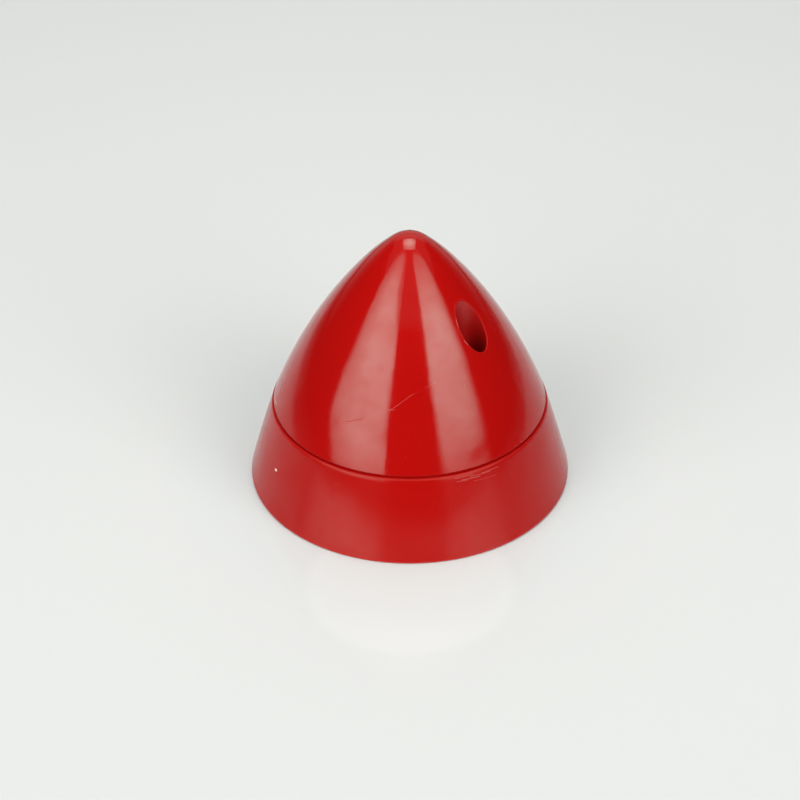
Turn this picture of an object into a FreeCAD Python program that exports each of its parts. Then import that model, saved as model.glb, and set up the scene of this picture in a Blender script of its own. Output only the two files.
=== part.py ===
import FreeCAD, Part
import math
import os

# Two-piece propeller spinner for a model aircraft, 2 1/2 inch (63.5 mm) size.
# Millimetres. +Z runs forward along the shaft axis to the nose. The origin is
# the centre of the back face, where the spinner seats against the propeller.
# The two cone screws lie on the X axis.

V = FreeCAD.Vector

# ---- driving dimensions ---------------------------------------------------
# outer form
base_diameter = 63.74         # back rim before rounding, 63.5 over the rounding
base_height = 16.75           # middle of the parting line
base_top_radius = 26.956      # flank radius at the parting line
flank_crown = 0.12            # how far the flank bulges past a straight cone
nose_step = 0.10              # the nose cone is this much smaller at the line
parting_gap = 0.40            # open gap between the two mouldings
nose_start_angle = 20.563     # flank angle from the axis, at the parting line
nose_arc_radius = 102.74      # long ogive arc
nose_shoulder_angle = 40.2    # flank angle where the arcs change
nose_shoulder_radius = 45.93  # shorter arc behind the tip
nose_tip_radius = 5.61        # ball of the nose
rim_round = 0.4               # back edge of the base
base_edge_round = 0.38        # front edge of the base
cone_edge_round = 0.12        # back edge of the nose cone

# nose cone moulding
cone_wall = 2.4
lip_outer_radius = 24.9       # register lip that centres the cone
lip_inner_radius = 23.4
lip_clearance = 0.2           # the lip stops short of the web
tower_radius = 4.8            # screw towers
tower_floor = 3.0             # plastic under each screw head
tower_rib = 1.8

# base moulding
base_wall = 2.5
web_front = 14.6              # front face of the web
web_thickness = 2.6
register_radius = 25.05       # recess that takes the lip
land_radius = 26.5            # raised land the cone's back face meets, so the
                              # parting line shows as a shallow groove
hub_radius = 8.5
hub_draft = 0.25              # growth of the radius over the hub's length
rib_count = 6
rib_thin, rib_thick = 1.5, 2.1
rib_back = 1.0                # ribs stop short of the back face
boss_radius = 4.0
boss_back = 2.0
serration_count = 24
serration_depth = 0.4
ejector_mark_radius = 1.6

# screws and inserts
screw_pitch_radius = 14.85
well_radius = 2.92            # access well for a 5.5 mm screw head
screw_clearance_radius = 1.7
screw_radius = 1.5            # M3
screw_length = 10.0
head_radius = 2.75
head_height = 3.0
socket_flats = 2.5
socket_depth = 1.3
insert_radius = 2.3
insert_length = 6.0
insert_groove = 0.25
relief_back = 4.2             # blind end of the hole below the insert
mouth_round = 0.15            # softened edge where a well breaks out

# hub bush
shaft_bore_diameter = 8.05    # runs on an 8 mm propeller shaft
bush_radius = 5.5
flange_radius = 8.5
flange_thickness = 1.6
bush_chamfer = 0.4


# ---- helpers --------------------------------------------------------------
def P(r, z):
    return V(r, 0, z)


def seg(a, b):
    return Part.LineSegment(a, b).toShape()


def arc(a, m, b):
    return Part.Arc(a, m, b).toShape()


def revolve(edges):
    face = Part.Face(Part.Wire(Part.__sortEdges__(edges)))
    solid = face.revolve(V(0, 0, 0), V(0, 0, 1), 360)
    if solid.ShapeType != "Solid":
        solid = solid.Solids[0]
    if solid.Volume < 0:
        solid.reverse()
    return solid


def poly(points):
    return [seg(points[i], points[(i + 1) % len(points)]) for i in range(len(points))]


def cyl(r, z0, z1, x=0.0, y=0.0):
    return Part.makeCylinder(r, z1 - z0, V(x, y, z0), V(0, 0, 1))


def ring_edges(shape, r, z, tol=0.02):
    """Full-circle edges about the Z axis at radius r and height z."""
    out = []
    for e in shape.Edges:
        if e.Degenerated:
            continue
        c = e.Curve
        if (
            isinstance(c, Part.Circle)
            and abs(c.Radius - r) < tol
            and abs(c.Center.z - z) < tol
            and math.hypot(c.Center.x, c.Center.y) < tol
        ):
            out.append(e)
    return out


def one_solid(shape):
    shape = shape.removeSplitter()
    solids = shape.Solids
    assert len(solids) == 1, len(solids)
    assert solids[0].isValid()
    return solids[0]


# ---- outer profile --------------------------------------------------------
R0 = base_diameter / 2
H0 = base_height
nose_r0 = base_top_radius - nose_step
t0 = math.radians(nose_start_angle)
t1 = math.radians(nose_shoulder_angle)
# long arc, its centre inboard of the parting line
C1 = (nose_r0 - nose_arc_radius * math.cos(t0), H0 - nose_arc_radius * math.sin(t0))
J1 = (C1[0] + nose_arc_radius * math.cos(t1), C1[1] + nose_arc_radius * math.sin(t1))
# shorter arc, tangent to the long one
C2 = (J1[0] - nose_shoulder_radius * math.cos(t1), J1[1] - nose_shoulder_radius * math.sin(t1))
# ball on the axis, tangent to the shorter arc
reach = nose_shoulder_radius - nose_tip_radius
tip_z = C2[1] + math.sqrt(reach * reach - C2[0] * C2[0])
t2 = math.atan2(tip_z - C2[1], -C2[0])
total_height = tip_z + nose_tip_radius


def nose_point(angle, which, inset=0.0):
    c, radius = {
        1: (C1, nose_arc_radius),
        2: (C2, nose_shoulder_radius),
        3: ((0.0, tip_z), nose_tip_radius),
    }[which]
    return P(c[0] + (radius - inset) * math.cos(angle), c[1] + (radius - inset) * math.sin(angle))


def nose_edges(start, inset):
    """Arcs from angle start on the long arc up to the axis, inset inwards."""
    a = nose_point(start, 1, inset)
    b = nose_point(t1, 1, inset)
    c = nose_point(t2, 2, inset)
    d = P(0, total_height - inset)
    return [
        arc(a, nose_point((start + t1) / 2, 1, inset), b),
        arc(b, nose_point((t1 + t2) / 2, 2, inset), c),
        arc(c, nose_point((t2 + math.pi / 2) / 2, 3, inset), d),
    ]


def flank_point(s, inset=0.0):
    """Point on the base's crowned flank, s from 0 at the back to 1 at the line."""
    r = R0 + (base_top_radius - R0) * s + flank_crown * 4 * s * (1 - s)
    return P(r - inset, H0 * s)


# ---- nose cone ------------------------------------------------------------
cone_back = H0 + parting_gap / 2
lip_back = web_front + lip_clearance
start = math.asin((cone_back - C1[1]) / nose_arc_radius)
outer0 = nose_point(start, 1)
# the inside wall runs straight forward from the lip until it meets the inset arc
inner_start = math.acos((lip_inner_radius - C1[0]) / (nose_arc_radius - cone_wall))
inner0 = nose_point(inner_start, 1, cone_wall)

shell = revolve(
    nose_edges(start, 0.0)
    + nose_edges(inner_start, cone_wall)
    + [
        seg(outer0, P(lip_outer_radius, cone_back)),
        seg(P(lip_outer_radius, cone_back), P(lip_outer_radius, lip_back + 0.4)),
        seg(P(lip_outer_radius, lip_back + 0.4), P(lip_outer_radius - 0.4, lip_back)),
        seg(P(lip_outer_radius - 0.4, lip_back), P(lip_inner_radius, lip_back)),
        seg(P(lip_inner_radius, lip_back), inner0),
        seg(P(0, total_height), P(0, total_height - cone_wall)),
    ]
)
shell = shell.makeFillet(cone_edge_round, ring_edges(shell, outer0.x, cone_back))

# everything inside the outer form, for trimming the towers and their ribs
envelope = revolve(
    nose_edges(start, 1.0)
    + [
        seg(nose_point(start, 1, 1.0), P(0, nose_point(start, 1, 1.0).z)),
        seg(P(0, nose_point(start, 1, 1.0).z), P(0, total_height - 1.0)),
    ]
)

nose = shell
seat_z = web_front + tower_floor
for side in (1, -1):
    x = side * screw_pitch_radius
    upper = cyl(tower_radius, cone_back + 1.5, total_height, x).common(envelope)
    lower = cyl(tower_radius, web_front, cone_back + 2.0, x)
    rib = Part.makeBox(16.0, tower_rib, 24.0, V(0, -tower_rib / 2, seat_z + 1.0))
    rib.translate(V(screw_pitch_radius, 0, 0))
    if side < 0:
        rib.rotate(V(0, 0, 0), V(0, 0, 1), 180)
    nose = nose.fuse([upper, lower, rib.common(envelope)])
for side in (1, -1):
    x = side * screw_pitch_radius
    nose = nose.cut(cyl(well_radius, seat_z, total_height + 5, x))
    nose = nose.cut(cyl(screw_clearance_radius, web_front - 1, seat_z + 1, x))
nose = one_solid(nose)

# soften the edge where each well breaks out through the flank
mouths = []
for e in nose.Edges:
    if e.Degenerated or e.BoundBox.ZMin < 33 or e.BoundBox.YLength < 0.5:
        continue
    u0, u1 = e.ParameterRange
    ring = [e.valueAt(u0 + (u1 - u0) * k / 6) for k in range(7)]
    if all(abs(math.hypot(abs(p.x) - screw_pitch_radius, p.y) - well_radius) < 0.01 for p in ring):
        mouths.append(e)
nose = nose.makeFillet(mouth_round, mouths)
nose = one_solid(nose)

# ---- base -----------------------------------------------------------------
base_front = H0 - parting_gap / 2
s_top = base_front / H0
web_back = web_front - web_thickness
s_web = web_back / H0
top_out = flank_point(s_top)

flank = arc(flank_point(0), flank_point(s_top / 2), top_out)
inner_wall = arc(flank_point(0, base_wall), flank_point(s_web / 2, base_wall), flank_point(s_web, base_wall))
cup = revolve(
    [
        flank,
        seg(top_out, P(land_radius, base_front)),
        seg(P(land_radius, base_front), P(land_radius, cone_back)),
        seg(P(land_radius, cone_back), P(register_radius, cone_back)),
        seg(P(register_radius, cone_back), P(register_radius, web_front)),
        seg(P(register_radius, web_front), P(0, web_front)),
        seg(P(0, web_front), P(0, web_back)),
        seg(P(0, web_back), flank_point(s_web, base_wall)),
        inner_wall,
        seg(flank_point(0, base_wall), flank_point(0)),
    ]
)
cup = cup.makeFillet(base_edge_round, ring_edges(cup, top_out.x, base_front))
cup = cup.makeFillet(rim_round, ring_edges(cup, R0, 0.0))
cup = cup.makeFillet(0.3, ring_edges(cup, register_radius, cone_back))
cup = cup.makeFillet(0.4, ring_edges(cup, R0 - base_wall, 0.0))
cup = cup.makeFillet(1.2, ring_edges(cup, flank_point(s_web, base_wall).x, web_back))

# region inside the middle of the outer wall, for trimming the ribs
core = revolve(
    [
        arc(flank_point(0, 1.2), flank_point(s_web / 2, 1.2), flank_point(s_web, 1.2)),
        seg(flank_point(s_web, 1.2), P(0, web_back)),
        seg(P(0, web_back), P(0, 0)),
        seg(P(0, 0), flank_point(0, 1.2)),
    ]
)

hub = Part.makeCone(hub_radius, hub_radius + hub_draft, web_back + 0.5, V(0, 0, 0), V(0, 0, 1))
base = cup.fuse(hub)
for side in (1, -1):
    boss = Part.makeCone(boss_radius, boss_radius + 0.2, web_back + 0.5 - boss_back,
                         V(side * screw_pitch_radius, 0, boss_back), V(0, 0, 1))
    base = base.fuse(boss)
for k in range(rib_count):
    # tapered section: thin at the back, thick at the web
    section = Part.makePolygon(
        [
            V(4, -rib_thin / 2, rib_back),
            V(4, rib_thin / 2, rib_back),
            V(4, rib_thick / 2, web_back + 0.5),
            V(4, -rib_thick / 2, web_back + 0.5),
            V(4, -rib_thin / 2, rib_back),
        ]
    )
    rib = Part.Face(section).extrude(V(30, 0, 0))
    rib.rotate(V(0, 0, 0), V(0, 0, 1), 360.0 / rib_count * k)
    base = base.fuse(rib.common(core))
base = base.removeSplitter()

# hole for the bush, and the nut side's flange seat is the web's front face
base = base.cut(cyl(bush_radius, -1, web_front + 1))

# threaded inserts, moulded into the bosses
inserts = {}
for n, side in ((1, 1), (2, -1)):
    x = side * screw_pitch_radius
    mid = web_front - insert_length / 2
    body = cyl(insert_radius, web_front - insert_length, web_front, x)
    groove = cyl(insert_radius + 1, mid - 0.5, mid + 0.5, x).cut(
        cyl(insert_radius - insert_groove, mid - 1, mid + 1, x)
    )
    body = body.cut(groove)
    base = base.cut(body)
    base = base.cut(cyl(screw_clearance_radius, relief_back, web_front, x))
    inserts[n] = body.cut(cyl(screw_radius, web_front - insert_length - 1, web_front + 1, x))

# grip serrations on the hub's back face
for k in range(serration_count):
    tooth = Part.Face(
        Part.makePolygon(
            [
                V(bush_radius - 1, -serration_depth, -0.001),
                V(bush_radius - 1, serration_depth, -0.001),
                V(bush_radius - 1, 0, serration_depth),
                V(bush_radius - 1, -serration_depth, -0.001),
            ]
        )
    ).extrude(V(hub_radius - bush_radius + 3, 0, 0))
    tooth.rotate(V(0, 0, 0), V(0, 0, 1), 360.0 / serration_count * (k + 0.5))
    base = base.cut(tooth)

# shallow marks left on the web by the ejector pins, one in each bay
for k in range(rib_count):
    a = math.radians(360.0 / rib_count * (k + 0.5))
    base = base.cut(cyl(ejector_mark_radius, web_back - 1, web_back + 0.2,
                        19.0 * math.cos(a), 19.0 * math.sin(a)))
base = one_solid(base)

# ---- hub bush -------------------------------------------------------------
bore = shaft_bore_diameter / 2
bush_front = web_front + flange_thickness
c = bush_chamfer
bush = revolve(
    poly(
        [
            P(bore + c, 0),
            P(bush_radius, 0),
            P(bush_radius, web_front),
            P(flange_radius, web_front),
            P(flange_radius, bush_front - c),
            P(flange_radius - c, bush_front),
            P(bore + c, bush_front),
            P(bore, bush_front - c),
            P(bore, c),
        ]
    )
)

# ---- cone screws ----------------------------------------------------------
def cap_screw(x):
    """M3 socket-head cap screw, its head seated at seat_z."""
    tip = seat_z - screw_length
    k = 0.3
    body = revolve(
        poly(
            [
                P(0, tip),
                P(screw_radius - 0.4, tip),
                P(screw_radius, tip + 0.4),
                P(screw_radius, seat_z),
                P(head_radius, seat_z),
                P(head_radius, seat_z + head_height - k),
                P(head_radius - k, seat_z + head_height),
                P(0, seat_z + head_height),
            ]
        )
    )
    across = socket_flats / math.sqrt(3)
    hexagon = Part.makePolygon(
        [V(across * math.cos(math.radians(60 * i)), across * math.sin(math.radians(60 * i)), 0) for i in range(7)]
    )
    key = Part.Face(hexagon).extrude(V(0, 0, socket_depth + 1))
    key.translate(V(0, 0, seat_z + head_height - socket_depth))
    drill = Part.makeCone(0.0, socket_flats / 2, 0.5, V(0, 0, seat_z + head_height - socket_depth - 0.5), V(0, 0, 1))
    body = body.cut(key.fuse(drill))
    body.translate(V(x, 0, 0))
    return body


# ---- write ----------------------------------------------------------------
os.makedirs("parts", exist_ok=True)
nodes = {
    "nose_cone": nose,
    "spinner_base": base,
    "hub_bush": bush,
    "cone_screw_1": cap_screw(screw_pitch_radius),
    "cone_screw_2": cap_screw(-screw_pitch_radius),
    "boss_insert_1": inserts[1],
    "boss_insert_2": inserts[2],
}
for name, shape in nodes.items():
    if shape.ShapeType != "Solid":
        assert len(shape.Solids) == 1, (name, len(shape.Solids))
        shape = shape.Solids[0]
    assert shape.isValid(), name
    shape.exportStep("parts/" + name + ".step")
    bb = shape.BoundBox
    print("%-14s %9.1f mm3  x %.2f..%.2f  y %.2f..%.2f  z %.2f..%.2f" % (
        name, shape.Volume, bb.XMin, bb.XMax, bb.YMin, bb.YMax, bb.ZMin, bb.ZMax))
print("height %.2f" % total_height)
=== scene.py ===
import math

import bpy
from mathutils import Matrix, Vector

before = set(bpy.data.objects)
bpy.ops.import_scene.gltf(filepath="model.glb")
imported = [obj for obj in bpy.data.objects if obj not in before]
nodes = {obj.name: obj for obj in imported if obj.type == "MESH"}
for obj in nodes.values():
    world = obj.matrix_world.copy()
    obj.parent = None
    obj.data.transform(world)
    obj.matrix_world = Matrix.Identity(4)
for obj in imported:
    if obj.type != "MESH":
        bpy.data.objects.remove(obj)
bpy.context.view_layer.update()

scene = bpy.context.scene

# the camera stands on this bearing from +X; lights are placed about it
CAM_BEARING = math.radians(-51.2)
UP = Vector((0, 0, 1))
LIGHT_TINT = (0.94, 1.0, 0.925)


def bearing(az, el=0.0):
    """Unit vector at azimuth az from the camera's bearing (plus is to its right) and elevation el, in degrees."""
    a = CAM_BEARING + math.radians(az)
    e = math.radians(el)
    return Vector((math.cos(a) * math.cos(e), math.sin(a) * math.cos(e), math.sin(e)))


def across(x, y):
    """A point on the floor, x to the camera's right and y towards the camera, in metres."""
    p = bearing(90) * x + bearing(0) * y
    return (p.x, p.y, 0.0)


# ---------------------------------------------------------------- camera
cam_data = bpy.data.cameras.new("camera")
cam_data.lens = 99.31
cam_data.sensor_width = 36.0
cam_data.clip_start = 0.01
cam = bpy.data.objects.new("camera", cam_data)
right = Vector((0.77772, 0.628598, -0.003975))
up = Vector((-0.357559, 0.447565, 0.819657))
back = Vector((0.517014, -0.636042, 0.572841))
m = Matrix((right, up, back)).transposed().to_4x4()
m.translation = Vector((0.223549, -0.278038, 0.265143))
cam.matrix_world = m
scene.collection.objects.link(cam)
scene.camera = cam

# ---------------------------------------------------------------- studio
scene.view_settings.view_transform = "Standard"
scene.view_settings.look = "None"

world = bpy.data.worlds.new("studio")
scene.world = world
world.use_nodes = True
world.node_tree.nodes["Background"].inputs["Color"].default_value = (0.95, 1.0, 0.97, 1)
world.node_tree.nodes["Background"].inputs["Strength"].default_value = 0.02


def profile(nt, value, stops):
    """A smooth curve through (position, level) stops."""
    ramp = nt.nodes.new("ShaderNodeValToRGB")
    ramp.color_ramp.interpolation = "EASE"
    els = ramp.color_ramp.elements
    els[0].color = (stops[0][1],) * 3 + (1,)
    els[-1].color = (stops[-1][1],) * 3 + (1,)
    for pos, level in stops[1:-1]:
        els.new(pos).color = (level, level, level, 1)
    nt.links.new(value, ramp.inputs["Fac"])
    return ramp.outputs["Color"]


def maths(nt, op, a, b=None, c=None, clamp=False):
    n = nt.nodes.new("ShaderNodeMath")
    n.operation = op
    n.use_clamp = clamp
    for i, v in enumerate((a, b, c)):
        if v is None:
            continue
        if isinstance(v, (int, float)):
            n.inputs[i].default_value = v
        else:
            nt.links.new(v, n.inputs[i])
    return n.outputs[0]


def panel(name, centre, facing, up_axis, width, height, radiance, across_stops=None, up_stops=None, cut=None, lean=None, shape=None):
    """A rectangular soft light, brighter in its middle, shining along facing."""
    data = bpy.data.lights.new(name, "AREA")
    data.shape = "RECTANGLE"
    data.size = width
    data.size_y = height
    data.energy = radiance * math.pi * width * height
    data.color = LIGHT_TINT
    if across_stops:
        data.use_nodes = True
        nt = data.node_tree
        emission = nt.nodes["Emission"]
        geo = nt.nodes.new("ShaderNodeNewGeometry")
        sep = nt.nodes.new("ShaderNodeSeparateXYZ")
        nt.links.new(geo.outputs["Parametric"], sep.inputs[0])
        u, v = sep.outputs[0], sep.outputs[1]
        level = maths(nt, "MULTIPLY", profile(nt, lean(nt, u, v) if lean else u, across_stops), profile(nt, v, up_stops))
        if shape:
            level = maths(nt, "MULTIPLY", level, shape(nt, u, v))
        if cut:
            # a slanting lower corner: dark where k*u + v < c
            k, c, soft = cut
            edge = maths(nt, "ADD", maths(nt, "MULTIPLY", sep.outputs[0], k), sep.outputs[1])
            level = maths(nt, "MULTIPLY", level, maths(nt, "DIVIDE", maths(nt, "SUBTRACT", edge, c), soft, clamp=True))
        nt.links.new(level, emission.inputs["Strength"])
    ob = bpy.data.objects.new(name, data)
    z = -facing.normalized()
    y = (up_axis - up_axis.dot(z) * z).normalized()
    x = y.cross(z)
    mat = Matrix((x, y, z)).transposed().to_4x4()
    mat.translation = centre
    ob.matrix_world = mat
    ob.visible_camera = False
    scene.collection.objects.link(ob)
    return ob


def wall_panel(name, face_az, d, az0, az1, el_top, radiance, z0=0.0, **kw):
    """An upright panel on the plane at distance d towards face_az, from az0 to az1, its top at elevation el_top there."""
    n = bearing(face_az)
    side = bearing(face_az + 90)
    t0 = d * math.tan(math.radians(az0 - face_az))
    t1 = d * math.tan(math.radians(az1 - face_az))
    top = d * math.tan(math.radians(el_top))
    centre = n * d + side * (t0 + t1) / 2 + UP * (z0 + top) / 2
    return panel(name, centre, -n, UP, abs(t1 - t0), top - z0, radiance, **kw)


BACK_AZ = 120


def ramped(nt, value, a, b, lo, hi):
    """value mapped from a..b to lo..hi, held beyond either end."""
    n = nt.nodes.new("ShaderNodeMapRange")
    n.clamp = True
    nt.links.new(value, n.inputs["Value"])
    for key, x in (("From Min", a), ("From Max", b), ("To Min", lo), ("To Max", hi)):
        n.inputs[key].default_value = x
    return n.outputs[0]


def lean_left(nt, u, v):
    # the outer edge draws in towards the foot, and out above
    low = maths(nt, "SUBTRACT", u, ramped(nt, v, 0.02, 0.1, LEFT_DRAW, 0.0))
    return maths(nt, "ADD", low, ramped(nt, v, 0.34, 0.5, 0.0, 0.1))


def shape_left(nt, u, v):
    # dimmer towards its lower inner corner
    corner = maths(nt, "MULTIPLY", ramped(nt, u, 0.72, 1.0, 0.0, 0.42), ramped(nt, v, 0.02, 0.12, 1.0, 0.0))
    return maths(nt, "SUBTRACT", 1.0, corner)


def lean_right(nt, u, v):
    # the outer edge leans out with height
    out = maths(nt, "MULTIPLY", maths(nt, "SUBTRACT", v, 0.15), 0.55)
    return maths(nt, "DIVIDE", maths(nt, "SUBTRACT", maths(nt, "MULTIPLY", u, 1.25), out), 1.25)


def shape_right(nt, u, v):
    u = maths(nt, "MULTIPLY", u, 1.25)
    # a soft inner edge, which draws in towards the foot
    edge = ramped(nt, v, 0.05, 0.25, 0.05, 0.0)
    inner = ramped(nt, maths(nt, "SUBTRACT", u, edge), -0.015, 0.06, 0.0, 1.0)
    # the panel proper ends short of the table, and the gap below it is dim on its outer side
    above = ramped(nt, v, 0.0545, 0.0605, 0.0, 1.0)
    gap = profile(nt, u, [(0.0, 1.0), (0.33, 1.0), (0.45, GAP), (0.6, GAP * 0.6), (1.0, GAP * 0.4)])
    low = ramped(nt, v, 0.020, 0.045, 0.85, 0.0)
    below = maths(nt, "MINIMUM", maths(nt, "ADD", gap, low), 1.0)
    foot = maths(nt, "ADD", above, maths(nt, "MULTIPLY", maths(nt, "SUBTRACT", 1.0, above), below))
    return maths(nt, "MULTIPLY", inner, foot)


LEFT_DRAW = 0.14
GAP = 0.3
# brightness over the height of the two front panels, foot to top
HEIGHT_L = [(0.0, 0.5), (0.035, 0.6), (0.09, 0.78), (0.2, 0.94), (0.29, 1.03), (0.4, 0.9), (0.52, 0.74), (0.65, 0.54), (0.81, 0.36), (1.0, 0.27)]
HEIGHT_R = [(0.0, 0.3), (0.015, 0.28), (0.035, 0.28), (0.05, 0.35), (0.075, 0.5), (0.104, 0.62), (0.15, 0.7), (0.212, 0.84), (0.3, 1.0), (0.409, 0.92), (0.527, 0.72), (0.655, 0.5), (0.813, 0.36), (1.0, 0.27)]
wall_panel("soft_left", -18, 0.6, -76, -18.6, 66, 5.3, z0=0.02,
           across_stops=[(0.0, 0.0), (0.05, 0.12), (0.1, 0.27), (0.19, 0.47), (0.31, 0.58), (0.44, 0.72), (0.53, 0.84), (0.61, 0.96), (0.75, 1.0), (0.87, 0.95), (0.94, 0.86), (0.975, 0.6), (1.0, 0.25)],
           up_stops=HEIGHT_L, cut=(0.302, 0.114, 0.02), lean=lean_left, shape=shape_left)
wall_panel("soft_right", 18, 0.6, 20.5, 75.8, 66, 5.3,
           across_stops=[(0.0, 0.9), (0.074, 0.96), (0.24, 1.0), (0.4, 0.96), (0.5, 0.85), (0.576, 0.62), (0.644, 0.34), (0.704, 0.1), (0.76, 0.0), (1.0, 0.0)],
           up_stops=HEIGHT_R, lean=lean_right, shape=shape_right)
wall_panel("soft_back", 180, 0.6, BACK_AZ, 360 - BACK_AZ, 57, 0.5, z0=0.02,
           across_stops=[(0.0, 0.0), (0.15, 0.14), (0.333, 0.9), (0.5, 1.0), (0.667, 0.9), (0.85, 0.14), (1.0, 0.0)],
           up_stops=[(0.0, 1.0), (0.6, 1.0), (0.85, 0.75), (1.0, 0.3)])
panel("soft_ceiling", UP * 1.6, -UP, bearing(0), 3.8, 3.8, 0.2)
panel("soft_top", bearing(180) * 0.10 + UP * 0.75, -UP, bearing(0), 0.51, 0.60, 6.4,
      across_stops=[(0.0, 0.5), (0.5, 1.0), (1.0, 0.5)], up_stops=[(0.0, 0.5), (0.5, 1.0), (1.0, 0.5)])

# ---------------------------------------------------------------- floor and surroundings
def principled(name):
    mat = bpy.data.materials.new(name)
    mat.use_nodes = True
    return mat, mat.node_tree, mat.node_tree.nodes["Principled BSDF"]


fm, fnt, fb = principled("floor_white")
fb.inputs["Roughness"].default_value = 0.2


def floor_colour():
    nt = fnt
    pos = nt.nodes.new("ShaderNodeTexCoord").outputs["Object"]
    r = vmath(nt, "LENGTH", pos)
    # close round the object the white is a little cooler and dimmer: a painted contact shadow
    painted_contact_shadow = rescale(nt, r, 0.030, 0.052, 1.0, 0.0)
    # and in front of it lies a faint lighter patch: painted light, standing in for light thrown onto the floor by the
    # glossy cone
    c = bearing(0) * 0.038
    e = vmath(nt, "MULTIPLY", vmath(nt, "SUBTRACT", pos, tuple(c)), (1.0, 1.0, 0.0))
    painted_caustic = rescale(nt, vmath(nt, "LENGTH", e), 0.0183, 0.0205, 1.0, 0.0)
    tone = nt.nodes.new("ShaderNodeMix")
    tone.data_type = "RGBA"
    nt.links.new(painted_contact_shadow, tone.inputs["Factor"])
    tone.inputs["A"].default_value = (0.610, 0.588, 0.618, 1)
    tone.inputs["B"].default_value = (0.565, 0.570, 0.602, 1)
    lift = nt.nodes.new("ShaderNodeMix")
    lift.data_type = "RGBA"
    nt.links.new(maths(nt, "MULTIPLY", painted_caustic, 0.06), lift.inputs["Factor"])
    nt.links.new(tone.outputs["Result"], lift.inputs["A"])
    lift.inputs["B"].default_value = (1, 1, 1, 1)
    nt.links.new(lift.outputs["Result"], fb.inputs["Base Color"])

# the table top that the gloss mirrors, and the ground beyond it. Beside and behind the object its edge is
# cut into fine teeth, so that its mirror image fades out instead of stopping short
CORNERS = [(-0.078, 0.098), (0.108, 0.098), (0.122, 0.05), (0.19, -0.5), (-0.17, -0.5), (-0.112, 0.05)]
FADE = [(1.2, 0.58), (1.5, 0.4), (2.3, 0.24), (3.0, 0.16), (4.5, 0.03)]
TOOTH = math.radians(1.5)


def edge_distance(a):
    """Distance from the axis to the outline of CORNERS in direction a, from the camera's bearing."""
    dx, dy = math.sin(a), math.cos(a)
    for (x0, y0), (x1, y1) in zip(CORNERS, CORNERS[1:] + CORNERS[:1]):
        ex, ey = x1 - x0, y1 - y0
        det = dx * ey - dy * ex
        if abs(det) < 1e-9:
            continue
        t = (x0 * ey - y0 * ex) / det
        k = (x0 * dy - y0 * dx) / det
        if t > 0 and 0 <= k <= 1:
            return t
    raise ValueError(a)


def table_outline():
    points = [(math.atan2(x, y), math.hypot(x, y)) for x, y in CORNERS[:3] + CORNERS[5:]]
    for side in (1, -1):
        for n in range(int(math.radians(110) / TOOTH)):
            a0 = math.radians(69) + n * TOOTH
            r0 = min(edge_distance(side * (a0 + TOOTH / 2)), 0.3)
            points.append((side * (a0 + TOOTH * 0.001), r0))
            for k, c in FADE:
                c *= 1.0 if a0 > math.radians(108) else 0.5
                points.append((side * (a0 + TOOTH * (0.5 - c / 2)), r0 * k))
                points.append((side * (a0 + TOOTH * (0.5 + c / 2)), r0 * k))
            points.append((side * (a0 + TOOTH * 0.999), r0))
    points.sort()
    return [across(r * math.sin(a), r * math.cos(a)) for a, r in points]


TABLE = table_outline()


def flat(name, points, faces):
    me = bpy.data.meshes.new(name)
    me.from_pydata(points, [], faces)
    me.materials.append(fm)
    ob = bpy.data.objects.new(name, me)
    scene.collection.objects.link(ob)
    return ob


flat("floor", TABLE, [list(range(len(TABLE)))])
outer = []
for px, py, _ in TABLE:
    q = Vector((px, py, 0))
    outer.append(tuple(q.normalized() * 6.0))
ring = flat("floor_beyond", TABLE + outer,
            [[i, len(TABLE) + i, len(TABLE) + (i + 1) % len(TABLE), (i + 1) % len(TABLE)] for i in range(len(TABLE))])
ring.visible_glossy = False
ring.visible_diffuse = False


def backdrop():
    """A pale cyclorama that closes off level views. It's seen only from inside, and neither lights nor shades anything."""
    steps, rows = 96, [(0.62, 0.0), (0.62, 0.12), (0.6, 0.24), (0.54, 0.36), (0.44, 0.46), (0.3, 0.54), (0.14, 0.58)]
    pts = [(r * math.cos(2 * math.pi * i / steps), r * math.sin(2 * math.pi * i / steps), z) for r, z in rows for i in range(steps)]
    faces = []
    for k in range(len(rows) - 1):
        for i in range(steps):
            j = (i + 1) % steps
            faces.append([k * steps + i, (k + 1) * steps + i, (k + 1) * steps + j, k * steps + j])
    top = len(pts)
    pts.append((0.0, 0.0, 0.59))
    last = (len(rows) - 1) * steps
    faces += [[last + i, top, last + (i + 1) % steps] for i in range(steps)]
    me = bpy.data.meshes.new("backdrop")
    me.from_pydata(pts, [], faces)
    me.shade_smooth()
    mat = bpy.data.materials.new("backdrop_white")
    mat.use_nodes = True
    nt = mat.node_tree
    nt.nodes.clear()
    out = nt.nodes.new("ShaderNodeOutputMaterial")
    mix = nt.nodes.new("ShaderNodeMixShader")
    clear = nt.nodes.new("ShaderNodeBsdfTransparent")
    glow = nt.nodes.new("ShaderNodeEmission")
    sep = nt.nodes.new("ShaderNodeSeparateXYZ")
    nt.links.new(nt.nodes.new("ShaderNodeTexCoord").outputs["Object"], sep.inputs[0])
    nt.links.new(ramped(nt, sep.outputs[2], 0.0, 0.3, 0.66, 0.78), glow.inputs["Strength"])
    glow.inputs["Color"].default_value = (0.985, 1.0, 0.975, 1)
    nt.links.new(nt.nodes.new("ShaderNodeNewGeometry").outputs["Backfacing"], mix.inputs["Fac"])
    nt.links.new(glow.outputs[0], mix.inputs[1])
    nt.links.new(clear.outputs[0], mix.inputs[2])
    nt.links.new(mix.outputs[0], out.inputs["Surface"])
    me.materials.append(mat)
    ob = bpy.data.objects.new("backdrop", me)
    scene.collection.objects.link(ob)
    for key in ("visible_diffuse", "visible_glossy", "visible_transmission", "visible_volume_scatter", "visible_shadow"):
        setattr(ob, key, False)


backdrop()

# ---------------------------------------------------------------- materials
def coords(nt):
    return nt.nodes.new("ShaderNodeTexCoord").outputs["Object"]


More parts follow.
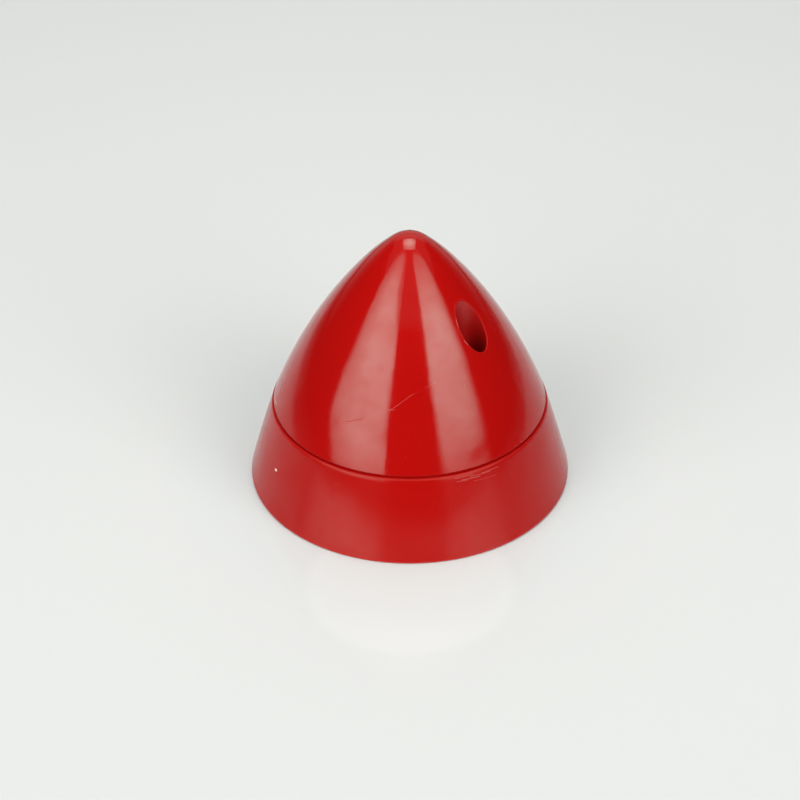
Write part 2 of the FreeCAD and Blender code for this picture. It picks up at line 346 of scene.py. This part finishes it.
def vmath(nt, op, a, b=None, scale=None):
    n = nt.nodes.new("ShaderNodeVectorMath")
    n.operation = op
    for i, v in enumerate((a, b)):
        if v is None:
            continue
        if isinstance(v, (tuple, list)):
            n.inputs[i].default_value = v
        else:
            nt.links.new(v, n.inputs[i])
    if scale is not None:
        if isinstance(scale, (int, float)):
            n.inputs["Scale"].default_value = scale
        else:
            nt.links.new(scale, n.inputs["Scale"])
    return n.outputs["Value"] if op in ("LENGTH", "DOT_PRODUCT", "DISTANCE") else n.outputs["Vector"]


def noise(nt, pos, scale, detail=2.0, rough=0.5, stretch=None):
    if stretch:
        mp = nt.nodes.new("ShaderNodeMapping")
        mp.inputs["Scale"].default_value = stretch
        nt.links.new(pos, mp.inputs["Vector"])
        pos = mp.outputs[0]
    n = nt.nodes.new("ShaderNodeTexNoise")
    n.inputs["Scale"].default_value = scale
    n.inputs["Detail"].default_value = detail
    n.inputs["Roughness"].default_value = rough
    nt.links.new(pos, n.inputs["Vector"])
    return n.outputs[0]


def rescale(nt, value, a, b, lo, hi):
    n = nt.nodes.new("ShaderNodeMapRange")
    n.clamp = True
    nt.links.new(value, n.inputs["Value"])
    n.inputs["From Min"].default_value = a
    n.inputs["From Max"].default_value = b
    n.inputs["To Min"].default_value = lo
    n.inputs["To Max"].default_value = hi
    return n.outputs[0]


def stroke(nt, pos, a, b, r, strength):
    """Mask of a mark along the straight line from a to b (metres), fading out over its radius r."""
    a, b = Vector(a), Vector(b)
    ab = b - a
    rel = vmath(nt, "SUBTRACT", pos, tuple(a))
    t = maths(nt, "DIVIDE", vmath(nt, "DOT_PRODUCT", rel, tuple(ab)), ab.length_squared, clamp=True)
    foot = vmath(nt, "SCALE", tuple(ab), scale=t)
    dist = vmath(nt, "DISTANCE", rel, foot)
    return rescale(nt, dist, r * 0.35, r, strength, 0.0)


def marks(nt, pos, table):
    """Strongest mark of each kind, as masks: light ones and dull ones."""
    out = {"light": None, "dull": None}
    for kind, r, strength, points in table:
        for p, q in zip(points, points[1:]):
            s = stroke(nt, pos, [c / 1000 for c in p], [c / 1000 for c in q], r / 1000, strength)
            out[kind] = s if out[kind] is None else maths(nt, "MAXIMUM", out[kind], s)
    return out["light"], out["dull"]


floor_colour()

# scratches, nicks and specks on the outside, and painted glints on a key-well mouth edge: kind, radius mm, strength,
# points mm
CONE_MARKS = [
    # the first three light marks trace the edge of a key-well mouth: painted glints, not scratches
    ("light", 0.07, 0.2, [(13.29, -2.60, 41.36), (13.71, -2.82, 40.75), (14.10, -2.92, 40.18)]),
    ("light", 0.07, 0.13, [(15.62, -3.20, 37.93), (16.29, -2.82, 37.05)]),
    ("light", 0.06, 0.1, [(17.49, -1.57, 35.46), (17.85, -0.79, 34.98), (17.94, 0.02, 34.86)]),
    ("light", 0.08, 0.06, [(10.39, -19.06, 28.25), (11.47, -17.73, 29.36), (12.76, -15.77, 30.89), (14.78, -12.65, 32.33)]),
    ("light", 0.07, 0.045, [(14.78, -12.65, 32.33), (15.43, -11.37, 32.83)]),
    ("dull", 0.1, 0.56, [(3.13, -23.25, 24.72), (4.78, -22.57, 25.54), (6.43, -21.83, 26.20)]),
    ("dull", 0.07, 0.28, [(0.53, -24.31, 22.88), (1.41, -23.55, 24.46), (3.81, -22.57, 25.91)]),
    ("dull", 0.07, 0.245, [(6.42, -21.60, 26.64), (7.90, -21.04, 26.76)]),
    ("light", 0.08, 0.06, [(10.14, -19.06, 28.48), (11.28, -18.39, 28.50)]),
    ("dull", 0.12, 0.63, [(15.27, -20.24, 20.50), (15.34, -20.21, 20.46)]),
    ("dull", 0.07, 0.28, [(18.77, -12.84, 26.23), (19.68, -11.58, 26.04)]),
    ("dull", 0.08, 0.35, [(20.34, -10.90, 25.54), (21.22, -9.29, 25.34)]),
    ("light", 0.06, 0.05, [(18.78, -6.86, 31.39), (19.05, -7.35, 30.63)]),
    ("light", 0.09, 0.192, [(26.64, 0.91, 17.27), (26.65, 1.06, 17.23)]),
    ("light", 0.07, 0.16, [(26.64, -0.93, 17.25), (26.65, -0.81, 17.23)]),
    ("light", 0.2, 0.24, [(-19.77, -17.65, 17.65), (-18.75, -18.65, 17.81), (-17.59, -19.69, 17.93)]),
]
BASE_MARKS = [
    ("light", 0.33, 1, [(-11.76, -26.87, 8.87), (-11.48, -26.97, 8.92)]),
    ("light", 0.09, 0.085, [(23.17, -14.69, 15.20), (24.27, -12.88, 15.07)]),
    ("light", 0.1, 0.1, [(23.67, -13.80, 15.33), (24.57, -12.19, 15.23), (25.39, -10.47, 15.12)]),
    ("light", 0.09, 0.085, [(24.40, -12.28, 15.60), (25.40, -10.18, 15.43), (26.10, -8.29, 15.36)]),
    ("light", 0.09, 0.085, [(25.45, -9.94, 15.55), (26.06, -8.24, 15.55), (26.57, -6.41, 15.54)]),
    ("light", 0.08, 0.075, [(22.82, -14.85, 15.88), (23.75, -13.30, 15.88), (24.61, -11.64, 15.87)]),
    ("light", 0.08, 0.065, [(24.99, -11.80, 14.54), (26.04, -9.44, 14.35), (26.77, -7.25, 14.24)]),
    ("light", 0.06, 0.048, [(3.88, -27.69, 13.49), (5.16, -27.45, 13.59)]),
    ("light", 0.07, 0.032, [(11.45, -26.84, 9.36), (13.62, -25.92, 9.02), (15.83, -24.76, 8.67)]),
    ("light", 0.07, 0.032, [(9.26, -27.42, 10.20), (11.35, -26.71, 9.94)]),
    ("dull", 0.1, 0.42, [(29.90, 2.42, 6.53), (29.92, 2.50, 6.43)]),
    ("dull", 0.1, 0.35, [(30.36, -5.29, 3.51), (30.56, -4.58, 3.22)]),
]


def red_plastic(name, table, rough0, rough1, scuff, specular, wells=False, shoulder=False, tint=(0.6, 1.0, 0.95)):
    mat, nt, b = principled(name)
    b.inputs["Specular IOR Level"].default_value = specular
    b.inputs["Specular Tint"].default_value = (*tint, 1)
    pos = coords(nt)
    light, dull = marks(nt, pos, table)
    # colour: one moulded red, very slightly uneven, whitened where it's scratched, and on the cone whitened in painted
    # glints along a key-well mouth
    mottle = noise(nt, pos, 45.0, 3.0)
    base = nt.nodes.new("ShaderNodeMix")
    base.data_type = "RGBA"
    nt.links.new(rescale(nt, mottle, 0.3, 0.7, 0.0, 1.0), base.inputs["Factor"])
    base.inputs["A"].default_value = (*RED_A, 1)
    base.inputs["B"].default_value = (*RED_B, 1)
    white = nt.nodes.new("ShaderNodeMix")
    white.data_type = "RGBA"
    nt.links.new(light, white.inputs["Factor"])
    nt.links.new(base.outputs["Result"], white.inputs["A"])
    white.inputs["B"].default_value = (0.9, 0.8, 0.78, 1)
    # painted shade darkens the parting line: both edges, and the groove between them
    axes = nt.nodes.new("ShaderNodeSeparateXYZ")
    nt.links.new(pos, axes.inputs[0])
    above = rescale(nt, axes.outputs[2], 0.01707, 0.01713, 1.0, 0.0)
    below = rescale(nt, axes.outputs[2], 0.01644, 0.01650, 0.0, 1.0)
    line = maths(nt, "MULTIPLY", above, below)
    painted_seam_shade = nt.nodes.new("ShaderNodeMix")
    painted_seam_shade.data_type = "RGBA"
    nt.links.new(maths(nt, "MULTIPLY", line, 0.17), painted_seam_shade.inputs["Factor"])
    nt.links.new(white.outputs["Result"], painted_seam_shade.inputs["A"])
    painted_seam_shade.inputs["B"].default_value = (0.12, 0.001, 0.001, 1)
    # and the back rim is painted paler: painted light that lifts the shade where the base meets the floor
    painted_foot_light = nt.nodes.new("ShaderNodeMix")
    painted_foot_light.data_type = "RGBA"
    nt.links.new(rescale(nt, axes.outputs[2], 0.0002, 0.0006, 0.5, 0.0), painted_foot_light.inputs["Factor"])
    nt.links.new(painted_seam_shade.outputs["Result"], painted_foot_light.inputs["A"])
    painted_foot_light.inputs["B"].default_value = (0.8, 0.03, 0.022, 1)
    nt.links.new(painted_foot_light.outputs["Result"], b.inputs["Base Color"])
    # sheen varies a little in soft clouds
    cloud = rescale(nt, noise(nt, pos, 190.0, 2.5, 0.6), 0.25, 0.75, 1.0 - CLOUD, 1.0 + CLOUD)
    cloud = maths(nt, "MULTIPLY", cloud, rescale(nt, line, 0.0, 1.0, 1.0, 0.3))
    # gloss: handling smears and fine hairlines round the axis
    smear = rescale(nt, noise(nt, pos, 70.0, 4.0, 0.6), 0.35, 0.75, rough0, rough1)
    hair = rescale(nt, noise(nt, pos, 60.0, 3.0, 0.6, stretch=(1.0, 1.0, 14.0)), 0.62, 0.8, 0.0, scuff)
    r = maths(nt, "ADD", smear, hair)
    r = maths(nt, "ADD", r, maths(nt, "MULTIPLY", dull, 0.5))
    r = maths(nt, "ADD", r, maths(nt, "MULTIPLY", light, 0.4), clamp=True)
    if wells:
        # the walls of the two key wells are as drilled, not polished
        sep = nt.nodes.new("ShaderNodeSeparateXYZ")
        nt.links.new(pos, sep.inputs[0])
        dx = maths(nt, "SUBTRACT", maths(nt, "ABSOLUTE", sep.outputs[0]), 0.01485)
        d = maths(nt, "SQRT", maths(nt, "ADD", maths(nt, "MULTIPLY", dx, dx), maths(nt, "MULTIPLY", sep.outputs[1], sep.outputs[1])))
        r = maths(nt, "MAXIMUM", r, rescale(nt, d, 0.0031, 0.0033, 0.42, 0.0))
        # their mouths are rubbed matt where the edge is rounded over
        ring = maths(nt, "MULTIPLY", rescale(nt, d, 0.002915, 0.002935, 0.0, 1.0), rescale(nt, d, 0.00308, 0.0032, 1.0, 0.0))
        nt.links.new(maths(nt, "MULTIPLY", rescale(nt, ring, 0.0, 1.0, specular, MOUTH_SPEC), cloud), b.inputs["Specular IOR Level"])
    if shoulder:
        # the front edge is a little duller than the flank
        sep = nt.nodes.new("ShaderNodeSeparateXYZ")
        nt.links.new(pos, sep.inputs[0])
        z = sep.outputs[2]
        r = maths(nt, "ADD", r, rescale(nt, z, 0.0160, 0.01640, 0.0, LIP_ROUGH))
        # and the groove behind it is matt
        lip = rescale(nt, z, 0.0162, 0.0164, specular, LIP_SPEC)
        lip = maths(nt, "SUBTRACT", lip, rescale(nt, z, 0.01652, 0.01656, 0.0, LIP_SPEC - 0.03))
        nt.links.new(maths(nt, "MULTIPLY", lip, cloud), b.inputs["Specular IOR Level"])
    nt.links.new(r, b.inputs["Roughness"])
    # form: faint waviness of the moulded skin, and the marks cut into it
    wave = noise(nt, pos, 55.0, 1.0)
    peel = maths(nt, "MULTIPLY", noise(nt, pos, 520.0, 2.0, 0.5), PEEL / WAVE)
    wave = maths(nt, "ADD", wave, peel)
    bump = nt.nodes.new("ShaderNodeBump")
    bump.inputs["Strength"].default_value = 1.0
    bump.inputs["Distance"].default_value = WAVE
    if shoulder:
        # the flank turns over gently in its last millimetre
        fall = rescale(nt, z, SHOULDER_Z, 0.0166, 0.0, 1.0)
        wave = maths(nt, "SUBTRACT", wave, maths(nt, "MULTIPLY", maths(nt, "MULTIPLY", fall, fall), SHOULDER / WAVE))
    nt.links.new(wave, bump.inputs["Height"])
    cut = nt.nodes.new("ShaderNodeBump")
    cut.invert = True
    cut.inputs["Strength"].default_value = 1.0
    cut.inputs["Distance"].default_value = 0.00002
    nt.links.new(maths(nt, "MAXIMUM", light, dull), cut.inputs["Height"])
    nt.links.new(bump.outputs["Normal"], cut.inputs["Normal"])
    nt.links.new(cut.outputs["Normal"], b.inputs["Normal"])
    return mat


RED_A = (0.360, 0.0026, 0.0021)
RED_B = (0.377, 0.0030, 0.0025)
WAVE = 0.00008
MOUTH_SPEC = 0.1
LIP_ROUGH = 0.2
LIP_SPEC = 0.22
SHOULDER_Z = 0.0157
SHOULDER = 0.00008
CLOUD = 0.26
PEEL = 0.000006


def metal(name, colour, rough, turned=0.0, knurl=0.0):
    mat, nt, b = principled(name)
    pos = coords(nt)
    b.inputs["Metallic"].default_value = 1.0
    tone = nt.nodes.new("ShaderNodeMix")
    tone.data_type = "RGBA"
    nt.links.new(rescale(nt, noise(nt, pos, 400.0, 3.0), 0.3, 0.7, 0.0, 1.0), tone.inputs["Factor"])
    tone.inputs["A"].default_value = (*[c * 0.9 for c in colour], 1)
    tone.inputs["B"].default_value = (*colour, 1)
    nt.links.new(tone.outputs["Result"], b.inputs["Base Color"])
    nt.links.new(rescale(nt, noise(nt, pos, 900.0, 3.0), 0.3, 0.7, rough * 0.8, rough * 1.25), b.inputs["Roughness"])
    if turned or knurl:
        sep = nt.nodes.new("ShaderNodeSeparateXYZ")
        nt.links.new(pos, sep.inputs[0])
    if turned:
        # tool marks: fine rings about the part's own axis
        radius = maths(nt, "SQRT", maths(nt, "ADD", maths(nt, "POWER", sep.outputs[0], 2.0), maths(nt, "POWER", sep.outputs[1], 2.0)))
        rings = maths(nt, "SINE", maths(nt, "MULTIPLY", maths(nt, "ADD", radius, sep.outputs[2]), 42000.0))
        bump = nt.nodes.new("ShaderNodeBump")
        bump.inputs["Strength"].default_value = 1.0
        bump.inputs["Distance"].default_value = turned
        nt.links.new(rings, bump.inputs["Height"])
        nt.links.new(bump.outputs["Normal"], b.inputs["Normal"])
    return mat


ALL = {
    "nose_cone": red_plastic("cone_plastic_v", CONE_MARKS, 0.075, 0.115, 0.05, 0.5, wells=True),
    "spinner_base": red_plastic("base_plastic_v", BASE_MARKS, 0.15, 0.205, 0.08, 0.29, shoulder=True, tint=(0.6, 1.0, 0.9)),
    "hub_bush": metal("bush_v", (0.77, 0.78, 0.8), 0.28, turned=0.000004),
    "cone_screw_1": metal("screw_v1", (0.1, 0.1, 0.11), 0.4),
    "cone_screw_2": metal("screw_v2", (0.1, 0.1, 0.11), 0.4),
    "boss_insert_1": metal("insert_v1", (0.8, 0.6, 0.28), 0.3, turned=0.000003),
    "boss_insert_2": metal("insert_v2", (0.8, 0.6, 0.28), 0.3, turned=0.000003),
}
for n, mat in ALL.items():
    ob = nodes[n]
    ob.data.materials.clear()
    ob.data.materials.append(mat)
